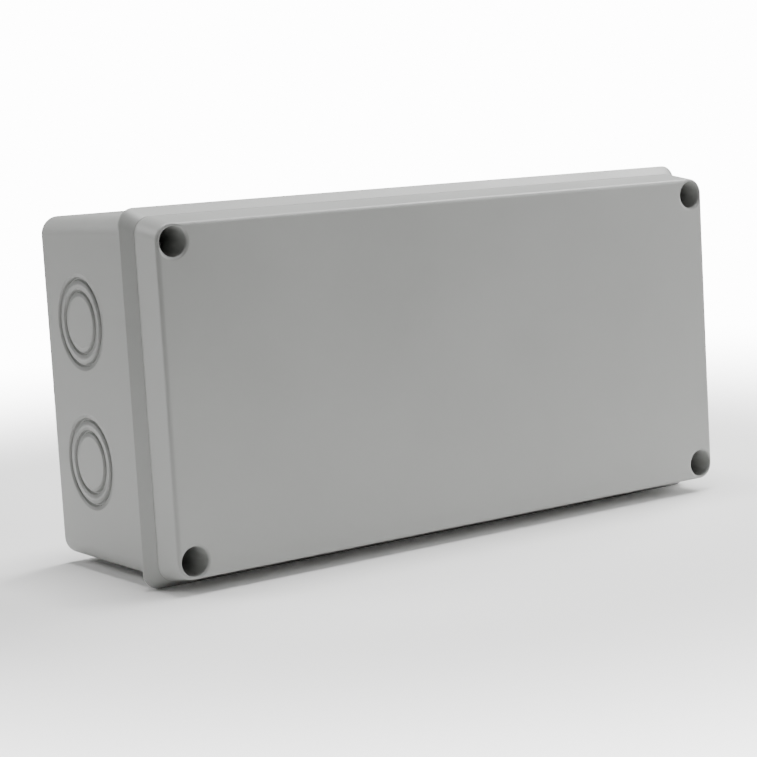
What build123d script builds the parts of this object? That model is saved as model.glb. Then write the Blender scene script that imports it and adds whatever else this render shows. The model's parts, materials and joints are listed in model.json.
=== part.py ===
"""Wall-mounted weatherproof enclosure with a deep lift-off lid held by four quarter-turn screws.

Frame: millimetres. X runs along the length and +Z is up. The wall face lies in the plane y = 0,
and the lid faces -Y. The origin is the centre of the wall face.
A depth is a distance from the wall face towards the lid, so a point at depth d has y = -d.
A step is how far an outline lies outside the body's outline at the wall.
"""

from build123d import *
import os
from math import atan, atan2, degrees, radians, sqrt, tan

# Body of the base, at the wall
BODY_LENGTH = 200.0
BODY_HEIGHT = 101.0
BODY_CORNER = 5.4
BODY_DRAFT = 0.33
BACK = 2.6
BACK_EDGE_ROUND = 1.0

# Rim, where the base and the lid part
RIM_STEP_X = 0.85
RIM_STEP_Z = 0.0
RIM_CORNER = 5.0
RIM_DEPTH = 58.5
PARTING_ROUND = 0.2

# Flange below the rim: a slope behind it, a narrow band and a slope in front up to the rim
FLANGE_STEP_X = 3.2
FLANGE_STEP_Z = 2.5
FLANGE_CORNER = 5.0
FLANGE_FRONT_SLOPE = 4.0
FLANGE_BAND = 0.6
FLANGE_BACK_SLOPE = 3.0
FLANGE_ROUND = 0.25

# Lid
LID_HEIGHT = 11.5
LID_FACE_STEP_X = 0.6
LID_FACE_STEP_Z = -1.9
LID_FACE_CORNER = 4.8
LID_FACE_ROUND = 1.2
LID_PLATE = 2.5
LOCATING_RIB_WIDTH = 1.2
LOCATING_RIB_DEPTH = 3.0
LOCATING_RIB_ROOT = 1.5
LOCATING_RIB_GAP = 0.3
STIFFENER_COUNT = 3
STIFFENER_WIDTH = 1.6
STIFFENER_HEIGHT = 3.0
STIFFENER_ROOT = 0.5

# Lid screws, set in from the body's sides
SCREW_INSET_X = 4.6
SCREW_INSET_Z = 6.85

# Seal: a channel in the rim of the base, its gasket and the lid's tongue
CHANNEL_WIDTH = 1.8
CHANNEL_DEPTH = 2.0
CHANNEL_WALL = 0.8
GASKET_HEIGHT = 1.3
GASKET_SIDE_GAP = 0.05
TONGUE_WIDTH = 1.2
SEAL_BEND = 5.0

# Screw wells, each ending in a turret that hangs from the lid into a pocket of the base
WELL_RADIUS = 4.15
WELL_END_RADIUS = 3.75
WELL_DEPTH = 14.4
WELL_MOUTH_ROUND = 0.4
TURRET_WALL = 0.85
TURRET_FLOOR = 1.4
POCKET_GAP = 0.25

# Quarter-turn screws and the washers that keep them in the lid
HEAD_HEIGHT = 2.0
HEAD_GAP = 0.3
HEAD_CHAMFER = 0.3
DRIVE_SLOT_WIDTH = 1.2
DRIVE_SLOT_DEPTH = 1.2
SHANK_RADIUS = 1.6
SHANK_GAP = 0.08
SHANK_CHAMFER = 0.4
LUG_RADIUS = 2.9
LUG_WIDTH = 2.0
LUG_HEIGHT = 2.0
LUG_GAP = 0.2
WASHER_RADIUS = 3.6
WASHER_HEIGHT = 0.6
WASHER_BORE_GAP = 0.02
WASHER_GAP = 0.15

# Ledge that the lugs turn under, and the core hole behind it
LEDGE = 2.0
CORE_HOLE_RADIUS = 3.3

# Knockouts: two score rings at each cable entry
KNOCKOUT_DIAMETERS = (25.0, 18.0)
KNOCKOUT_DEPTH = 21.7
SCORE_WIDTH = 1.1
SCORE_FLOOR_WIDTH = 0.3
SCORE_DEPTH = 0.8
END_KNOCKOUT_COUNT = 2
END_KNOCKOUT_SPACING = 40.7
SIDE_KNOCKOUT_COUNT = 3
SIDE_KNOCKOUT_SPACING = 55.0

# Wall fixing: holes in the back, set in from its edges, collars round them and sealing caps
FIXING_INSET_X = 20.0
FIXING_INSET_Z = 20.5
FIXING_HOLE_RADIUS = 2.6
COLLAR_BORE_RADIUS = 4.8
COLLAR_WALL = 1.6
COLLAR_HEIGHT = 6.0
CAP_PLUG_LENGTH = 2.8
CAP_PLUG_GAP = 0.05
CAP_WALL = 1.2
CAP_FLANGE = 1.2
CAP_FLANGE_CHAMFER = 0.4

# Bosses for what is fitted inside
BOSS_INSET_X = 45.0
BOSS_INSET_Z = 25.5
BOSS_RADIUS = 3.4
BOSS_HEIGHT = 6.0
BOSS_BORE_RADIUS = 1.4

# Depths down a screw, from the lid's face to the lugs
LID_FACE_DEPTH = RIM_DEPTH + LID_HEIGHT
HEAD_SEAT_DEPTH = LID_FACE_DEPTH - WELL_DEPTH
TURRET_END_DEPTH = HEAD_SEAT_DEPTH - TURRET_FLOOR
POCKET_FLOOR_DEPTH = TURRET_END_DEPTH - WASHER_HEIGHT - 2 * WASHER_GAP
LEDGE_BACK_DEPTH = POCKET_FLOOR_DEPTH - LEDGE
LUG_TOP_DEPTH = LEDGE_BACK_DEPTH - LUG_GAP
LUG_END_DEPTH = LUG_TOP_DEPTH - LUG_HEIGHT

# Depth of the flange's front edge
FLANGE_DEPTH = RIM_DEPTH - FLANGE_FRONT_SLOPE

# Hole patterns, and the turrets that stand on the screw pattern
FIXING_SPACING_X = BODY_LENGTH - 2 * FIXING_INSET_X
FIXING_SPACING_Z = BODY_HEIGHT - 2 * FIXING_INSET_Z
BOSS_SPACING_X = BODY_LENGTH - 2 * BOSS_INSET_X
BOSS_SPACING_Z = BODY_HEIGHT - 2 * BOSS_INSET_Z
SCREW_SPACING_X = BODY_LENGTH - 2 * SCREW_INSET_X
SCREW_SPACING_Z = BODY_HEIGHT - 2 * SCREW_INSET_Z
TURRET_RADIUS = WELL_END_RADIUS + TURRET_WALL
POCKET_RADIUS = TURRET_RADIUS + POCKET_GAP

# Depths and outlines of the seal. A margin is a distance outside the screw axes.
LID_UNDERSIDE_DEPTH = LID_FACE_DEPTH - LID_PLATE
GASKET_FLOOR_DEPTH = RIM_DEPTH - CHANNEL_DEPTH
GASKET_TOP_DEPTH = GASKET_FLOOR_DEPTH + GASKET_HEIGHT
CAVITY_SHIFT = CHANNEL_WIDTH / 2 + CHANNEL_WALL
SEAL_MARGIN_X = SCREW_INSET_X + RIM_STEP_X - CAVITY_SHIFT
SEAL_MARGIN_Z = SCREW_INSET_Z + RIM_STEP_Z - CAVITY_SHIFT
SEAL_DETOUR_RADIUS = POCKET_RADIUS + CAVITY_SHIFT

CORNERS = {
    "top_left": (-1, 1),
    "top_right": (1, 1),
    "bottom_left": (-1, -1),
    "bottom_right": (1, -1),
}

os.makedirs("parts", exist_ok=True)


def wall_plane(depth):
    """The plane at this depth. It faces the lid side, its local x is X and its local y is Z."""
    return Plane.XZ.offset(depth)


def at_screws():
    """The four lid screw axes on a wall plane."""
    return GridLocations(SCREW_SPACING_X, SCREW_SPACING_Z, 2, 2)


def corner_plane(corner, spacing_x, spacing_z, depth):
    """A wall plane whose origin is at this corner of a rectangular pattern."""
    side, up = CORNERS[corner]
    return wall_plane(depth).shift_origin((side * spacing_x / 2, -depth, up * spacing_z / 2))


def outline(step_x, step_z, corner):
    """A rounded rectangle this far outside the body's outline at the wall."""
    return RectangleRounded(BODY_LENGTH + 2 * step_x, BODY_HEIGHT + 2 * step_z, corner)


def lug_slot():
    """The hole that lets a screw's lugs through when the screw is at its released angle."""
    Circle(SHANK_RADIUS + SHANK_GAP)
    Rectangle(2 * (LUG_RADIUS + LUG_GAP), LUG_WIDTH + 2 * LUG_GAP)


def seal_area(shift):
    """The area inside the seal's centre line, its edge moved outwards by shift.

    Each side runs straight, bends inwards round a centre of its own and then passes round the
    screw pocket on the dry side. Every arc keeps its centre, so the shift only changes its radius.
    """
    corner = Vector(SCREW_SPACING_X / 2, SCREW_SPACING_Z / 2)
    inset_x, inset_z = SEAL_MARGIN_X - SEAL_BEND, SEAL_MARGIN_Z - SEAL_BEND
    reach = SEAL_DETOUR_RADIUS + SEAL_BEND
    run_x, run_z = sqrt(reach**2 - inset_z**2), sqrt(reach**2 - inset_x**2)
    lean_x, lean_z = degrees(atan2(inset_z, run_x)), degrees(atan2(inset_x, run_z))
    bend = SEAL_BEND + shift
    top = corner.Y + SEAL_MARGIN_Z + shift
    side = corner.X + SEAL_MARGIN_X + shift
    with BuildSketch() as area:
        with BuildLine():
            Line((0, top), (corner.X - run_x, top))
            CenterArc((corner.X - run_x, corner.Y + inset_z), bend, 90, -90 - lean_x)
            CenterArc(corner, SEAL_DETOUR_RADIUS - shift, 180 - lean_x, 90 + lean_x + lean_z)
            CenterArc((corner.X + inset_x, corner.Y - run_z), bend, 90 + lean_z, -90 - lean_z)
            Line((side, corner.Y - run_z), (side, 0))
            mirror(about=Plane.YZ)
            mirror(about=Plane.XZ)
        make_face()
    return area.sketch


CAVITY = seal_area(-CAVITY_SHIFT)


def seal_band(width):
    """A band of this width along the seal's centre line."""
    add(seal_area(width / 2))
    add(seal_area(-width / 2), mode=Mode.SUBTRACT)


def edges_at(part, depth):
    """The edges of a part that lie in the wall plane at this depth."""
    return part.edges().filter_by_position(Axis.Y, -depth, -depth)


# Base: a drafted tray with a flange that slopes up to the rim
with BuildPart() as base:
    body_front_depth = FLANGE_DEPTH - FLANGE_BAND - FLANGE_BACK_SLOPE
    body_growth = body_front_depth * tan(radians(BODY_DRAFT))
    with BuildSketch(wall_plane(0)):
        outline(0, 0, BODY_CORNER)
    extrude(amount=body_front_depth, taper=-BODY_DRAFT)
    with BuildSketch(wall_plane(body_front_depth)):
        outline(body_growth, body_growth, BODY_CORNER + body_growth)
    with BuildSketch(wall_plane(FLANGE_DEPTH - FLANGE_BAND)):
        outline(FLANGE_STEP_X, FLANGE_STEP_Z, FLANGE_CORNER)
    loft(ruled=True)
    with BuildSketch(wall_plane(FLANGE_DEPTH - FLANGE_BAND)):
        outline(FLANGE_STEP_X, FLANGE_STEP_Z, FLANGE_CORNER)
    extrude(amount=FLANGE_BAND)
    with BuildSketch(wall_plane(FLANGE_DEPTH)):
        outline(FLANGE_STEP_X, FLANGE_STEP_Z, FLANGE_CORNER)
    with BuildSketch(wall_plane(RIM_DEPTH)):
        outline(RIM_STEP_X, RIM_STEP_Z, RIM_CORNER)
    loft(ruled=True)
    fillet(edges_at(base, 0), BACK_EDGE_ROUND)
    fillet(edges_at(base, FLANGE_DEPTH) + edges_at(base, FLANGE_DEPTH - FLANGE_BAND), FLANGE_ROUND)
    fillet(edges_at(base, RIM_DEPTH), PARTING_ROUND)

    # Cavity, which leaves a corner column round each screw
    with BuildSketch(wall_plane(BACK)):
        add(CAVITY)
    extrude(amount=RIM_DEPTH - BACK, mode=Mode.SUBTRACT)

    # Gasket channel
    with BuildSketch(wall_plane(GASKET_FLOOR_DEPTH)):
        seal_band(CHANNEL_WIDTH)
    extrude(amount=CHANNEL_DEPTH, mode=Mode.SUBTRACT)

    # Pockets for the lid's turrets, the slotted ledges under them and the core holes behind
    with BuildSketch(wall_plane(POCKET_FLOOR_DEPTH)):
        with at_screws():
            Circle(POCKET_RADIUS)
    extrude(amount=RIM_DEPTH - POCKET_FLOOR_DEPTH, mode=Mode.SUBTRACT)
    with BuildSketch(wall_plane(LEDGE_BACK_DEPTH)):
        with at_screws():
            lug_slot()
    extrude(amount=LEDGE, mode=Mode.SUBTRACT)
    with BuildSketch(wall_plane(0)):
        with at_screws():
            Circle(CORE_HOLE_RADIUS)
    extrude(amount=LEDGE_BACK_DEPTH, mode=Mode.SUBTRACT)

    # Collars and holes for the wall screws, and bosses for what is fitted inside
    with BuildSketch(wall_plane(BACK)):
        with GridLocations(FIXING_SPACING_X, FIXING_SPACING_Z, 2, 2):
            Circle(COLLAR_BORE_RADIUS + COLLAR_WALL)
            Circle(COLLAR_BORE_RADIUS, mode=Mode.SUBTRACT)
    extrude(amount=COLLAR_HEIGHT)
    with BuildSketch(wall_plane(0)):
        with GridLocations(FIXING_SPACING_X, FIXING_SPACING_Z, 2, 2):
            Circle(FIXING_HOLE_RADIUS)
    extrude(amount=BACK, mode=Mode.SUBTRACT)
    with BuildSketch(wall_plane(BACK)):
        with GridLocations(BOSS_SPACING_X, BOSS_SPACING_Z, 2, 2):
            Circle(BOSS_RADIUS)
            Circle(BOSS_BORE_RADIUS, mode=Mode.SUBTRACT)
    extrude(amount=BOSS_HEIGHT)

    # Score rings, cut in each side wall as grooves that narrow towards their floor
    growth = KNOCKOUT_DEPTH * tan(radians(BODY_DRAFT))
    half_length = BODY_LENGTH / 2 + growth
    half_height = BODY_HEIGHT / 2 + growth
    walls = [
        ((side, 0, 0), half_length, (0, 0, 1), END_KNOCKOUT_COUNT, END_KNOCKOUT_SPACING)
        for side in (-1, 1)
    ] + [
        ((0, 0, side), half_height, (1, 0, 0), SIDE_KNOCKOUT_COUNT, SIDE_KNOCKOUT_SPACING)
        for side in (-1, 1)
    ]
    score_taper = degrees(atan((SCORE_WIDTH - SCORE_FLOOR_WIDTH) / 2 / SCORE_DEPTH))
    for normal, distance, along, count, spacing in walls:
        groove_floor = Vector(normal) * (distance - SCORE_DEPTH) + Vector(0, -KNOCKOUT_DEPTH, 0)
        with BuildSketch(Plane(groove_floor, x_dir=along, z_dir=normal)):
            with GridLocations(spacing, 0, count, 1):
                for diameter in KNOCKOUT_DIAMETERS:
                    Circle((diameter + SCORE_FLOOR_WIDTH) / 2)
                    Circle((diameter - SCORE_FLOOR_WIDTH) / 2, mode=Mode.SUBTRACT)
        extrude(amount=2 * SCORE_DEPTH, taper=-score_taper, mode=Mode.SUBTRACT)

# Gasket, laid in the rim's channel
with BuildPart() as gasket:
    with BuildSketch(wall_plane(GASKET_FLOOR_DEPTH)):
        seal_band(CHANNEL_WIDTH - 2 * GASKET_SIDE_GAP)
    extrude(amount=GASKET_HEIGHT)

# Lid: a deep drafted tray with four wells that end in turrets
with BuildPart() as lid:
    with BuildSketch(wall_plane(RIM_DEPTH)):
        outline(RIM_STEP_X, RIM_STEP_Z, RIM_CORNER)
    with BuildSketch(wall_plane(LID_FACE_DEPTH)):
        outline(LID_FACE_STEP_X, LID_FACE_STEP_Z, LID_FACE_CORNER)
    loft(ruled=True)
    fillet(edges_at(lid, LID_FACE_DEPTH), LID_FACE_ROUND)
    fillet(edges_at(lid, RIM_DEPTH), PARTING_ROUND)

    # Hollow underside, and the tongue that presses on the gasket
    with BuildSketch(wall_plane(RIM_DEPTH)):
        add(CAVITY)
    extrude(amount=LID_UNDERSIDE_DEPTH - RIM_DEPTH, mode=Mode.SUBTRACT)
    with BuildSketch(wall_plane(GASKET_TOP_DEPTH)):
        seal_band(TONGUE_WIDTH)
    extrude(amount=RIM_DEPTH - GASKET_TOP_DEPTH)

    # Locating rib, which grows from a ledge inside the wall and drops into the cavity
    rib_shift = -CAVITY_SHIFT - LOCATING_RIB_GAP
    with BuildSketch(wall_plane(RIM_DEPTH)):
        add(CAVITY)
        add(seal_area(rib_shift - LOCATING_RIB_WIDTH), mode=Mode.SUBTRACT)
    extrude(amount=LOCATING_RIB_ROOT)
    with BuildSketch(wall_plane(RIM_DEPTH - LOCATING_RIB_DEPTH)):
        add(seal_area(rib_shift))
        add(seal_area(rib_shift - LOCATING_RIB_WIDTH), mode=Mode.SUBTRACT)
    extrude(amount=LOCATING_RIB_DEPTH)

    # Stiffeners between the long sides
    inner_height = SCREW_SPACING_Z + 2 * (SEAL_MARGIN_Z - CAVITY_SHIFT)
    with BuildSketch(wall_plane(LID_UNDERSIDE_DEPTH)):
        with GridLocations(SCREW_SPACING_X / (STIFFENER_COUNT + 1), 0, STIFFENER_COUNT, 1):
            Rectangle(STIFFENER_WIDTH, inner_height + 2 * STIFFENER_ROOT)
    extrude(amount=-STIFFENER_HEIGHT)

    # Turrets
    with BuildSketch(wall_plane(TURRET_END_DEPTH)):
        with at_screws():
            Circle(TURRET_RADIUS)
    extrude(amount=RIM_DEPTH - TURRET_END_DEPTH)

    # Wells, revolved with a rounded mouth, and the slot that each screw passes through
    mouth = LID_FACE_DEPTH - WELL_MOUTH_ROUND
    clear = LID_FACE_DEPTH + WELL_MOUTH_ROUND
    for side, up in CORNERS.values():
        centre = Vector(side * SCREW_SPACING_X / 2, 0, up * SCREW_SPACING_Z / 2)
        with BuildSketch(Plane(centre, x_dir=(1, 0, 0), z_dir=(0, 0, 1))):
            with BuildLine():
                Polyline(
                    (WELL_RADIUS, -mouth),
                    (WELL_END_RADIUS, -HEAD_SEAT_DEPTH),
                    (0, -HEAD_SEAT_DEPTH),
                    (0, -clear),
                    (WELL_RADIUS + WELL_MOUTH_ROUND, -clear),
                    (WELL_RADIUS + WELL_MOUTH_ROUND, -LID_FACE_DEPTH),
                )
                CenterArc((WELL_RADIUS + WELL_MOUTH_ROUND, -mouth), WELL_MOUTH_ROUND, 180, 90)
            make_face()
        revolve(axis=Axis(centre, (0, 1, 0)), mode=Mode.SUBTRACT)
    with BuildSketch(wall_plane(TURRET_END_DEPTH)):
        with at_screws():
            lug_slot()
    extrude(amount=TURRET_FLOOR, mode=Mode.SUBTRACT)


def lid_screw(corner):
    """A quarter-turn screw: a slotted head, a shank and two lugs in line with the slot."""
    head_radius = WELL_END_RADIUS - HEAD_GAP
    head_top_depth = HEAD_SEAT_DEPTH + HEAD_HEIGHT

    def across(depth):
        return corner_plane(corner, SCREW_SPACING_X, SCREW_SPACING_Z, depth)

    with BuildPart() as screw:
        with BuildSketch(across(HEAD_SEAT_DEPTH)):
            Circle(head_radius)
        extrude(amount=HEAD_HEIGHT)
        chamfer(edges_at(screw, head_top_depth), HEAD_CHAMFER)
        with BuildSketch(across(head_top_depth - DRIVE_SLOT_DEPTH)):
            Rectangle(2 * head_radius, DRIVE_SLOT_WIDTH)
        extrude(amount=DRIVE_SLOT_DEPTH, mode=Mode.SUBTRACT)
        with BuildSketch(across(LUG_END_DEPTH)):
            Circle(SHANK_RADIUS)
        extrude(amount=HEAD_SEAT_DEPTH - LUG_END_DEPTH)
        chamfer(edges_at(screw, LUG_END_DEPTH), SHANK_CHAMFER)
        with BuildSketch(across(LUG_END_DEPTH + SHANK_CHAMFER)):
            Circle(LUG_RADIUS)
            Rectangle(2 * LUG_RADIUS, LUG_WIDTH, mode=Mode.INTERSECT)
        extrude(amount=LUG_HEIGHT - SHANK_CHAMFER)
    return screw


def retaining_washer(corner):
    """A rubber washer stretched over the lugs, which keeps its screw in the lid."""
    depth = TURRET_END_DEPTH - WASHER_GAP - WASHER_HEIGHT
    with BuildPart() as washer:
        with BuildSketch(corner_plane(corner, SCREW_SPACING_X, SCREW_SPACING_Z, depth)):
            Circle(WASHER_RADIUS)
            Circle(SHANK_RADIUS + WASHER_BORE_GAP, mode=Mode.SUBTRACT)
        extrude(amount=WASHER_HEIGHT)
    return washer


def fixing_cap(corner):
    """A cap whose hollow plug seals a wall screw inside its collar."""
    plug_radius = COLLAR_BORE_RADIUS - CAP_PLUG_GAP
    collar_end_depth = BACK + COLLAR_HEIGHT

    def across(depth):
        return corner_plane(corner, FIXING_SPACING_X, FIXING_SPACING_Z, depth)

    with BuildPart() as cap:
        with BuildSketch(across(collar_end_depth)):
            Circle(COLLAR_BORE_RADIUS + COLLAR_WALL)
        extrude(amount=CAP_FLANGE)
        chamfer(edges_at(cap, collar_end_depth + CAP_FLANGE), CAP_FLANGE_CHAMFER)
        with BuildSketch(across(collar_end_depth - CAP_PLUG_LENGTH)):
            Circle(plug_radius)
            Circle(plug_radius - CAP_WALL, mode=Mode.SUBTRACT)
        extrude(amount=CAP_PLUG_LENGTH)
    return cap


pieces = {"base": base, "gasket": gasket, "lid": lid}
for corner in CORNERS:
    pieces[f"lid_screw_{corner}"] = lid_screw(corner)
    pieces[f"retaining_washer_{corner}"] = retaining_washer(corner)
    pieces[f"fixing_cap_{corner}"] = fixing_cap(corner)

for name, piece in pieces.items():
    piece.part.label = name
    export_step(piece.part, f"parts/{name}.step")
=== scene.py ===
"""Weatherproof enclosure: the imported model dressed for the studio, in metres, in the frame's axes."""

import json
from math import cos, radians

import bmesh
import bpy
import numpy as np
from mathutils import Euler, Matrix, Vector


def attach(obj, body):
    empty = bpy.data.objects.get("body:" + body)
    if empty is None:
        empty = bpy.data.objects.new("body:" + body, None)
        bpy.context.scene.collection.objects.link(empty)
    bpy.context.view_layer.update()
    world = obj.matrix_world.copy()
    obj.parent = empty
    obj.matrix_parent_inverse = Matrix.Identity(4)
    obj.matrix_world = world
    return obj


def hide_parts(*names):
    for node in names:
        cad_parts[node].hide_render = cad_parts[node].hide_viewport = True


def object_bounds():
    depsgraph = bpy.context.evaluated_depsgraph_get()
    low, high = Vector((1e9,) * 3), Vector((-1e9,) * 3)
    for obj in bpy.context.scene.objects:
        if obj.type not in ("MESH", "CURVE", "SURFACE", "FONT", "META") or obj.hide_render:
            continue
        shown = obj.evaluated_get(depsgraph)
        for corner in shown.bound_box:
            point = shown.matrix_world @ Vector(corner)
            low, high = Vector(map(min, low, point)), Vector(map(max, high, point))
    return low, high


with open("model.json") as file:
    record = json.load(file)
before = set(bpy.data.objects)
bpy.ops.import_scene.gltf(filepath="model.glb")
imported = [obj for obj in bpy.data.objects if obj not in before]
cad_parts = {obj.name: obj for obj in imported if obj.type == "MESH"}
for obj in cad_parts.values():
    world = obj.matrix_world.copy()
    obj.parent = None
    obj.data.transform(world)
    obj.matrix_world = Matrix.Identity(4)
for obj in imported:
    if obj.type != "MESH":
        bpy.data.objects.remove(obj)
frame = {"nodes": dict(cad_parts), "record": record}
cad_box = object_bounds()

MM = 0.001
CORNERS = ("top_left", "top_right", "bottom_left", "bottom_right")
MOUNTS = {mount["name"]: mount["pos_m"] for mount in frame["record"]["mounts"]}
JOINTS = {joint["name"]: joint for joint in frame["record"]["behaviour"]["joints"]}
BODY_OF = {
    name: body for body, members in frame["record"]["behaviour"]["bodies"].items() for name in members
}

# Faces that meet at less than this angle are shaded as one
CREASE = radians(32.0)
# Points nearer than this are merged
MERGE_DISTANCE = 1e-6
# Least length that a sum of normals is divided by
SHORTEST = 1e-15

# Cable entries: two on each end and three on each long side, all at one depth
END_WALL, ENTRY_DEPTH = MOUNTS["end_knockouts_right"][0], -MOUNTS["end_knockouts_right"][1]
SIDE_WALL = MOUNTS["side_knockouts_top"][2]
END_SPACING = 40.7 * MM
SIDE_SPACING = 55.0 * MM
SCORE_RINGS = (12.5 * MM, 9.0 * MM)
# What lies less than this inside a wall's outer plane counts as its skin
WALL_SKIN = 1.6 * MM
# A lip is rounded between these distances from the middle of its groove, and falls this far
SCORE_LIP = (0.1 * MM, 1.75 * MM)
SCORE_FALL = 1.1 * MM

# Lid: the axis of a well, the depth of the face, and how much of that depth counts as its skin
WELL_X, _, WELL_Z = JOINTS["screw_turn_top_right"]["pos_m"]
FACE_DEPTH = -cad_box[0][1]
FACE_SKIN = 0.7 * MM
# A mouth's lip lies between these distances from the well's axis. The lid's lower edge has its lip
# between these depths, on the skin beyond these distances along X or Z. Both fall this far.
MOUTH_LIP = (3.9 * MM, 5.1 * MM)
HEM_LIP = (58.4 * MM, 59.5 * MM)
HEM_WALL_X, HEM_WALL_Z = 99.4 * MM, 49.4 * MM
LID_FALL = 0.5 * MM

# Moulded polymers bend light about alike. Specks are the small marks in their colour, and a noise
# stays mostly inside its span.
POLYMER_IOR = 1.52
SPECK_SIZE = 0.9 * MM
SPECK_SHARE = 0.22
NOISE_SPAN = (0.3, 0.7)
GRAIN_STRENGTH = 0.35

# Studio: the floor's half width, the distances from the origin between which it fades to white,
# the point that the lights face, and how bright the room is to the box and to the camera
FLOOR_REACH = 1.5
FLOOR_FADE = (0.17, 0.60)
MIDDLE = Vector((0.0, -0.03, 0.0))
ROOM_GLOW, BACKDROP_GLOW = 0.03, 14.0

# Camera: its place, its turn about X, Y and Z in degrees and its lens, fitted to the outline
CAMERA_PLACE = Vector((-364.82, -543.95, 69.63)) * MM
CAMERA_TURN = (83.053, 3.332, -35.569)
SENSOR_WIDTH_MM = 36.0
LENS_MM = 96.38

# Materials


def linear(hex_colour):
    """sRGB hex to linear RGBA."""
    parts = [int(hex_colour[i : i + 2], 16) / 255 for i in (1, 3, 5)]
    return [c / 12.92 if c <= 0.04045 else ((c + 0.055) / 1.055) ** 2.4 for c in parts] + [1.0]


def node(tree, kind, *feeds, inputs=None, **settings):
    """Adds a shader node and returns its outputs.

    The settings are its properties. The feeds go to its inputs in order, and what inputs holds by
    index or name: each is a number, a vector or the output of another node.
    """
    made = tree.nodes.new("ShaderNode" + kind)
    for key, value in settings.items():
        setattr(made, key, value)
    for key, feed in [*enumerate(feeds), *(inputs or {}).items()]:
        if isinstance(feed, bpy.types.NodeSocket):
            tree.links.new(feed, made.inputs[key])
        else:
            made.inputs[key].default_value = feed
    return made.outputs


def score_lips(tree, place):
    """Normals that round the lips of the score rings, whose cut itself is in the mesh.

    Height = product over both rings of smoothstep(|r - ring radius|), r being the distance to the
    nearest entry's axis. Folding the coordinates brings every entry onto one: |z| less half the end
    spacing on the ends, and ||x| less half the side spacing| less it again on the long sides, with
    |y| less the entries' depth on both. Only the outer skin of the walls gets it.
    """
    fold = node(tree, "VectorMath", place, operation="ABSOLUTE")[0]
    halves = (SIDE_SPACING / 2, ENTRY_DEPTH, END_SPACING / 2)
    near = node(tree, "VectorMath", fold, halves, operation="SUBTRACT")[0]
    on_end = node(tree, "VectorMath", near, (0, 1, 1), operation="MULTIPLY")[0]
    end_radius = node(tree, "VectorMath", on_end, operation="LENGTH")["Value"]
    again = node(tree, "VectorMath", near, operation="ABSOLUTE")[0]
    nearer = node(tree, "VectorMath", again, (SIDE_SPACING / 2, 0, 0), operation="SUBTRACT")[0]
    on_side = node(tree, "VectorMath", nearer, (1, 1, 0), operation="MULTIPLY")[0]
    side_radius = node(tree, "VectorMath", on_side, operation="LENGTH")["Value"]

    along, _, up = node(tree, "SeparateXYZ", fold)
    is_end = node(tree, "Math", along, END_WALL - WALL_SKIN, operation="GREATER_THAN")[0]
    is_side = node(tree, "Math", up, SIDE_WALL - WALL_SKIN, operation="GREATER_THAN")[0]
    choice = {0: is_end, 2: side_radius, 3: end_radius}
    radius = node(tree, "Mix", data_type="FLOAT", inputs=choice)[0]
    heights = []
    for ring in SCORE_RINGS:
        gap = node(tree, "Math", radius, ring, operation="SUBTRACT")[0]
        away = node(tree, "Math", gap, operation="ABSOLUTE")[0]
        heights.append(node(tree, "MapRange", away, *SCORE_LIP, interpolation_type="SMOOTHSTEP")[0])
    rings = node(tree, "Math", *heights, operation="MULTIPLY")[0]
    outside = node(tree, "Math", is_end, is_side, operation="MAXIMUM")[0]
    inside = node(tree, "Math", 1.0, outside, operation="SUBTRACT")[0]
    height = node(tree, "Math", rings, inside, operation="MAXIMUM")[0]
    return node(tree, "Bump", inputs={"Height": height, "Strength": 1.0, "Distance": SCORE_FALL})[0]


def lid_lips(tree, place):
    """Normals that round the well mouths and the lid's lower edge a little more than the mesh does.

    Height = smaller of two smoothsteps: of the distance to the nearest well's axis, the coordinates
    folded to |x| and |z|, on the lid's face alone, and of the depth past the parting line, on the
    outer skin alone.
    """
    fold = node(tree, "VectorMath", place, operation="ABSOLUTE")[0]
    offset = node(tree, "VectorMath", fold, (WELL_X, 0, WELL_Z), operation="SUBTRACT")[0]
    level = node(tree, "VectorMath", offset, (1, 0, 1), operation="MULTIPLY")[0]
    radius = node(tree, "VectorMath", level, operation="LENGTH")["Value"]
    mouth = node(tree, "MapRange", radius, *MOUTH_LIP, interpolation_type="SMOOTHSTEP")[0]

    wide, depth, tall = node(tree, "SeparateXYZ", fold)
    behind = node(tree, "Math", depth, FACE_DEPTH - FACE_SKIN, operation="LESS_THAN")[0]
    mouth = node(tree, "Math", mouth, behind, operation="MAXIMUM")[0]
    hem = node(tree, "MapRange", depth, *HEM_LIP, interpolation_type="SMOOTHSTEP")[0]
    on_end = node(tree, "Math", wide, HEM_WALL_X, operation="GREATER_THAN")[0]
    on_side = node(tree, "Math", tall, HEM_WALL_Z, operation="GREATER_THAN")[0]
    outside = node(tree, "Math", on_end, on_side, operation="MAXIMUM")[0]
    inside = node(tree, "Math", 1.0, outside, operation="SUBTRACT")[0]
    hem = node(tree, "Math", hem, inside, operation="MAXIMUM")[0]
    height = node(tree, "Math", mouth, hem, operation="MINIMUM")[0]
    return node(tree, "Bump", inputs={"Height": height, "Strength": 1.0, "Distance": LID_FALL})[0]


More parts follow.
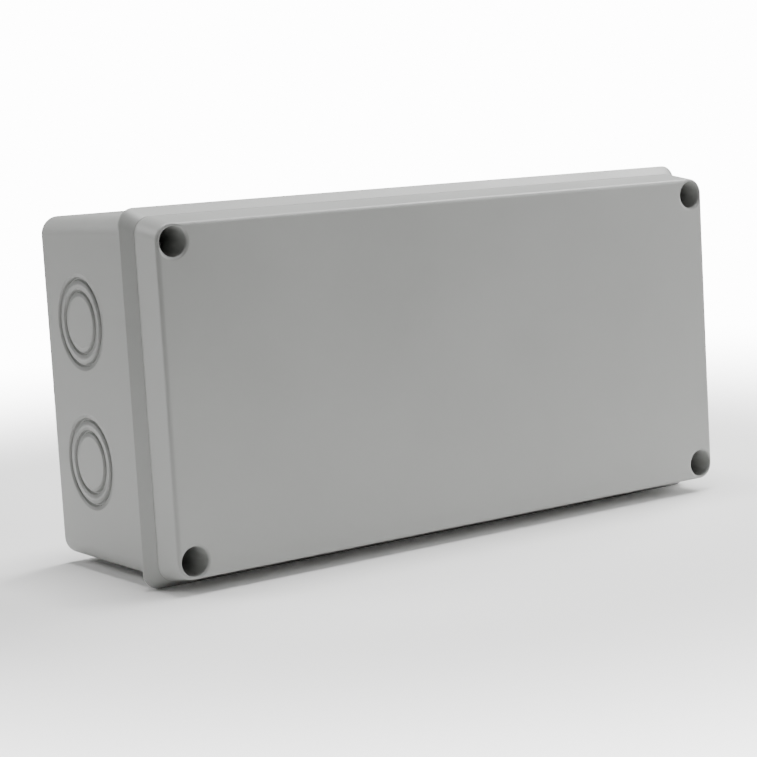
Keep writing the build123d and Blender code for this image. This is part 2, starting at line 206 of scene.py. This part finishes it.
def moulded(name, light, dark, roughness, grain_mm, relief_mm, cloud_mm=38.0, rough_span=0.05, lips=None):
    """A moulded polymer: two close shades that drift over the part, and a fine matt tool texture.

    The drift is the uneven shine that regrind and flow leave in a large moulding. The grain is the
    spark-eroded skin of the mould, drawn a little coarser than the real 0.1 mm so that it shows.
    """
    material = bpy.data.materials.new(name)
    material.use_nodes = True
    tree = material.node_tree
    shader = tree.nodes["Principled BSDF"].inputs
    shader["IOR"].default_value = POLYMER_IOR
    place = node(tree, "TexCoord")["Object"]

    drift = {"Vector": place, "Scale": 1 / (cloud_mm * MM), "Detail": 3.0, "Roughness": 0.55}
    cloud = node(tree, "TexNoise", inputs=drift)[0]
    specks = {"Vector": place, "Scale": 1 / SPECK_SIZE, "Detail": 2.0, "Roughness": 0.6}
    speck = node(tree, "TexNoise", inputs=specks)[0]
    blend = node(tree, "Mix", data_type="FLOAT", inputs={0: SPECK_SHARE, 2: cloud, 3: speck})[0]
    shade = node(tree, "ValToRGB", blend)[0]
    low, high = shade.node.color_ramp.elements
    low.position, high.position = NOISE_SPAN
    low.color, high.color = linear(dark), linear(light)
    tree.links.new(shade, shader["Base Color"])
    shine = (roughness - rough_span, roughness + rough_span)
    tree.links.new(node(tree, "MapRange", cloud, *NOISE_SPAN, *shine)[0], shader["Roughness"])

    skin = {"Vector": place, "Scale": 1 / (grain_mm * MM), "Detail": 2.0, "Roughness": 0.5}
    grain = node(tree, "TexNoise", inputs=skin)[0]
    relief = {"Height": grain, "Strength": GRAIN_STRENGTH, "Distance": relief_mm * MM}
    if lips:
        relief["Normal"] = lips(tree, place)
    tree.links.new(node(tree, "Bump", inputs=relief)[0], shader["Normal"])
    return material


# Light grey polycarbonate, injection moulded: a matt skin that softens every reflection
housing = moulded("light_grey_polycarbonate_base", "#989997", "#939492", 0.50, 0.45, 0.012, lips=score_lips)
cover = moulded("light_grey_polycarbonate_lid", "#999a98", "#959694", 0.46, 0.45, 0.010, lips=lid_lips)
# Glass-filled polyamide, moulded: dark, satin, with a slightly coarse skin
screw_stock = moulded("glass_filled_polyamide", "#66676a", "#5c5d60", 0.42, 0.35, 0.010, 6.0, 0.07)
# Foamed chloroprene, extruded: dull black with an open skin
seal_stock = moulded("foamed_chloroprene", "#1c1c1c", "#141414", 0.86, 0.5, 0.03, 5.0, 0.04)
# Nitrile rubber, stamped from sheet: smoother than the foam
washer_stock = moulded("nitrile_rubber_sheet", "#202020", "#191919", 0.7, 0.3, 0.01, 5.0, 0.05)
# Low-density polyethylene, moulded: a waxy grey
cap_stock = moulded("low_density_polyethylene", "#a3a5a5", "#9b9d9d", 0.55, 0.5, 0.008, 8.0, 0.05)

# Pieces


def even_normals(mesh):
    """Corner normals that keep flats flat and give each round the whole turn between them.

    Normal of a corner = sum of area * normal over the faces at its vertex whose normal lies within
    the crease angle of its own face's, scaled to length one.
    """
    faces = np.array([face.vertices[:] for face in mesh.polygons])
    normals = np.array([face.normal[:] for face in mesh.polygons])
    areas = np.array([face.area for face in mesh.polygons])
    owner = np.repeat(np.arange(len(faces)), 3)
    order = np.argsort(faces.ravel(), kind="stable")
    starts = np.flatnonzero(np.diff(faces.ravel()[order], prepend=-1))
    corners = np.zeros((len(owner), 3))
    for group in np.split(order, starts[1:]):
        near = normals[owner[group]]
        share = (near @ near.T > cos(CREASE)) * areas[owner[group]]
        total = share @ near
        length = np.linalg.norm(total, axis=1, keepdims=True)
        corners[group] = total / np.maximum(length, SHORTEST)
    mesh.normals_split_custom_set(corners)


def dressed(name, material):
    """A merged copy of a CAD node, shaded smooth, which rides on the node's body in its place."""
    mesh = frame["nodes"][name].data.copy()
    work = bmesh.new()
    work.from_mesh(mesh)
    bmesh.ops.remove_doubles(work, verts=work.verts, dist=MERGE_DISTANCE)
    bmesh.ops.triangulate(work, faces=work.faces)
    work.to_mesh(mesh)
    work.free()
    mesh.name = name + "_skin"
    mesh.materials.clear()
    mesh.materials.append(material)
    mesh.shade_smooth()
    even_normals(mesh)
    piece = bpy.data.objects.new(name + "_skin", mesh)
    bpy.context.scene.collection.objects.link(piece)
    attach(piece, BODY_OF[name])
    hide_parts(name)


dressed("base", housing)
dressed("lid", cover)
dressed("gasket", seal_stock)
for corner in CORNERS:
    dressed("lid_screw_" + corner, screw_stock)
    dressed("retaining_washer_" + corner, washer_stock)
    dressed("fixing_cap_" + corner, cap_stock)

# Studio

# White paper, matt, at the box's lowest edge. It fades out into the white behind it.
lowest = cad_box[0][2]
ways = ((-1, -1), (1, -1), (1, 1), (-1, 1))
floor_mesh = bpy.data.meshes.new("studio_floor")
floor_mesh.from_pydata([(a * FLOOR_REACH, b * FLOOR_REACH, lowest) for a, b in ways], [], [range(4)])
floor = bpy.data.objects.new("studio_floor", floor_mesh)
bpy.context.scene.collection.objects.link(floor)
paper = bpy.data.materials.new("white_paper_sweep")
paper.use_nodes = True
sheet = paper.node_tree
finish = sheet.nodes["Principled BSDF"].inputs
finish["Base Color"].default_value = linear("#f6f6f5")
finish["Roughness"].default_value = 0.9
reach = node(sheet, "VectorMath", node(sheet, "TexCoord")["Object"], operation="LENGTH")["Value"]
fade = node(sheet, "MapRange", reach, *FLOOR_FADE, 1.0, 0.0, interpolation_type="SMOOTHSTEP")[0]
sheet.links.new(fade, finish["Alpha"])
floor_mesh.materials.append(paper)


def softbox(name, place, width, watts):
    """A square area light that faces the box, its axes being the cross products of that direction."""
    data = bpy.data.lights.new(name, "AREA")
    data.shape, data.size, data.energy = "SQUARE", width, watts
    lamp = bpy.data.objects.new(name, data)
    bpy.context.scene.collection.objects.link(lamp)
    back = (Vector(place) - MIDDLE).normalized()
    across = Vector((0, 0, 1)).cross(back).normalized()
    turn = Matrix((across, back.cross(across), back)).transposed().to_4x4()
    lamp.matrix_world = Matrix.Translation(place) @ turn
    lamp.visible_camera = False


# Most light comes from above and from the right, and the left gets weak light from behind and in
# front: the flange's slope and the wells at the camera's left stay darkest, as in the photograph
softbox("top_softbox", (0.0, -0.06, 1.0), 0.4, 14.2)
softbox("top_right_softbox", (0.7, 0.1, 0.8), 0.5, 12.2)
softbox("right_softbox", (0.75, -0.40, 0.22), 0.4, 5.7)
softbox("back_left_softbox", (-0.95, 0.75, 0.0), 0.4, 3.3)
softbox("high_back_left_softbox", (-0.7, 0.6, 0.6), 0.4, 4.0)
softbox("front_left_softbox", (-0.9, -0.8, 0.2), 0.4, 1.5)

# Surroundings: a dim room round the box, which the camera sees as a pure white backdrop
world = bpy.data.worlds.new("soft_studio")
bpy.context.scene.world = world
world.use_nodes = True
sky = world.node_tree
backdrop = sky.nodes["Background"].inputs
seen = node(sky, "LightPath")["Is Camera Ray"]
glow = node(sky, "MapRange", seen, 0.0, 1.0, ROOM_GLOW, BACKDROP_GLOW)[0]
sky.links.new(glow, backdrop["Strength"])
backdrop["Color"].default_value = linear("#ffffff")

camera_data = bpy.data.cameras.new("camera")
camera_data.sensor_width = SENSOR_WIDTH_MM
camera_data.lens = LENS_MM
camera = bpy.data.objects.new("camera", camera_data)
bpy.context.scene.collection.objects.link(camera)
turned = Euler([radians(angle) for angle in CAMERA_TURN])
camera.matrix_world = Matrix.LocRotScale(CAMERA_PLACE, turned, None)
bpy.context.scene.camera = camera
